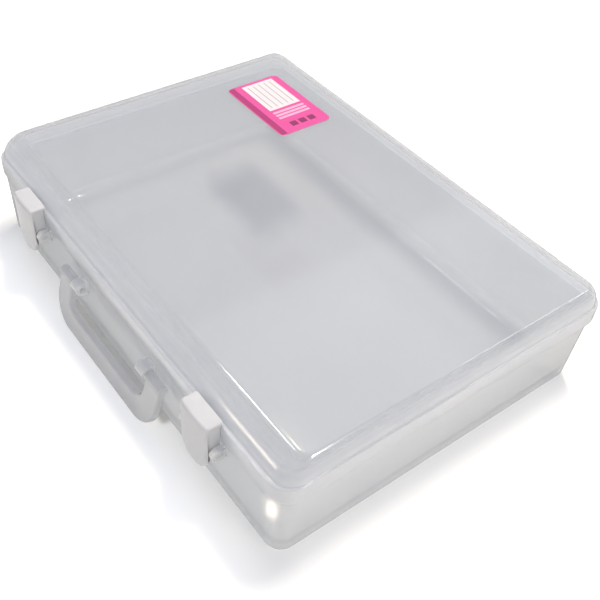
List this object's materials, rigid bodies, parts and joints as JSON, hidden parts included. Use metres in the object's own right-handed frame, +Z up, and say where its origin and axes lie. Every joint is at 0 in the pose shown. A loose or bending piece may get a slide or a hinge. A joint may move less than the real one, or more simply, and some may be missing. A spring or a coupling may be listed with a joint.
{
  "type": "storage case",
  "caption": "Flat translucent plastic carrying case with a hinged domed lid over a deep tray, rocking front latches and a drooping loop handle.",
  "frame": {"origin": "middle of the flat underside of the tray, on the surface that the case lies on", "axes": "+X along the front towards the right-hand latch, +Y from the front to the hinge side, +Z up"},
  "size_m": [0.33, 0.2608, 0.0737],
  "materials": {
    "clear_plastic": "translucent polypropylene, smooth with a soft gloss",
    "white_plastic": "opaque white polypropylene, soft gloss",
    "pin_steel": "plain bright wire",
    "label_paper": "coated paper, pink with a white writing panel"
  },
  "bodies": {
    "base": {"base_tray": "clear_plastic", "hinge_pin_left": "pin_steel", "hinge_pin_right": "pin_steel"},
    "lid": {"lid": "clear_plastic", "label": "label_paper"},
    "latch_left": {"latch_left": "white_plastic"},
    "latch_right": {"latch_right": "white_plastic"},
    "handle": {"handle": "clear_plastic"}
  },
  "joints": [
    {"name": "lid_hinge", "type": "hinge", "parent": "base", "child": "lid", "pos_m": [0, 0.1235, 0.0472], "axis": [-1, 0, 0], "range_deg": [0, 180]},
    {"name": "latch_left_rock", "type": "hinge", "parent": "base", "child": "latch_left", "pos_m": [-0.101, -0.124, 0.0435], "axis": [1, 0, 0], "range_deg": [0, 28]},
    {"name": "latch_right_rock", "type": "hinge", "parent": "base", "child": "latch_right", "pos_m": [0.101, -0.124, 0.0435], "axis": [1, 0, 0], "range_deg": [0, 28]},
    {"name": "handle_swing", "type": "hinge", "parent": "base", "child": "handle", "pos_m": [0, -0.1233, 0.036], "axis": [-1, 0, 0], "range_deg": [-12, 155]}
  ]
}
